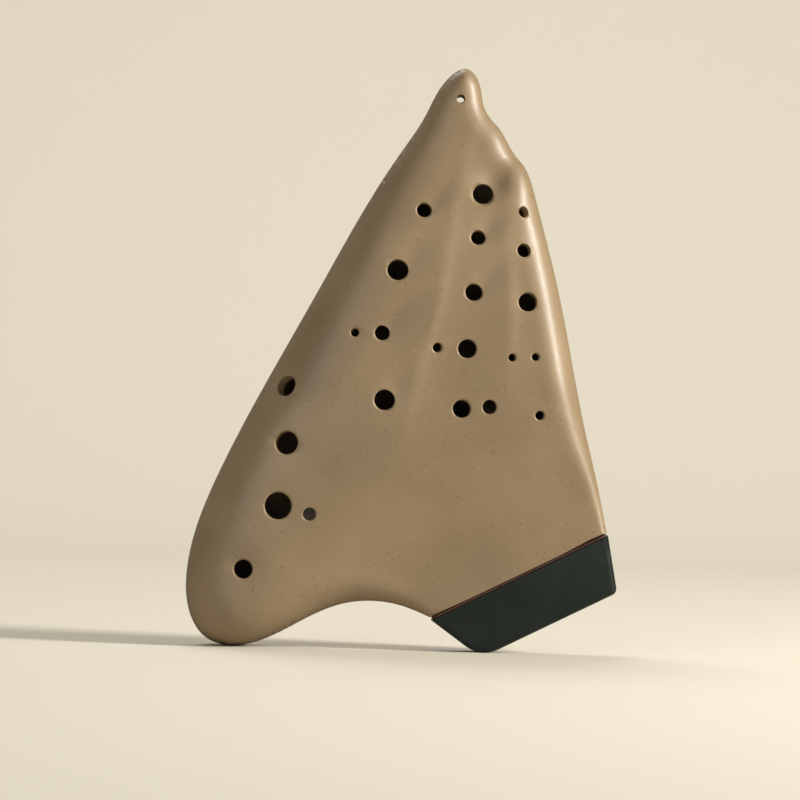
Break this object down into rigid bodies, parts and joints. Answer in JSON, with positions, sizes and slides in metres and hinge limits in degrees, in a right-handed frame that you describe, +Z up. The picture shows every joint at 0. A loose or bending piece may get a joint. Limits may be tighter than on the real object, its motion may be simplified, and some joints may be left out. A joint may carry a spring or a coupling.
{
  "type": "triple ocarina",
  "caption": "Clay vessel flute with chambers side by side, finger holes on its front, windows on its back and a black glazed mouthpiece.",
  "frame": {"origin": "centre of the bounding box's bottom, with the bulb and the mouthpiece's lower corner standing on z = 0", "axes": "+Z up to the tip with the cord hole, +X to the right as the finger holes are looked at, finger holes facing -Y"},
  "size_m": [0.1592, 0.036, 0.2154],
  "materials": {
    "fired_clay": "satin",
    "inner_clay": "matte",
    "cement": "matte",
    "black_glaze": "gloss"
  },
  "bodies": {
    "root": {"front_shell": "fired_clay", "back_shell": "fired_clay", "partition_low_mid": "inner_clay", "partition_mid_high": "inner_clay", "windway_low": "inner_clay", "windway_mid": "inner_clay", "windway_high": "inner_clay", "joint_cement": "cement", "mouthpiece": "black_glaze"}
  },
  "joints": []
}
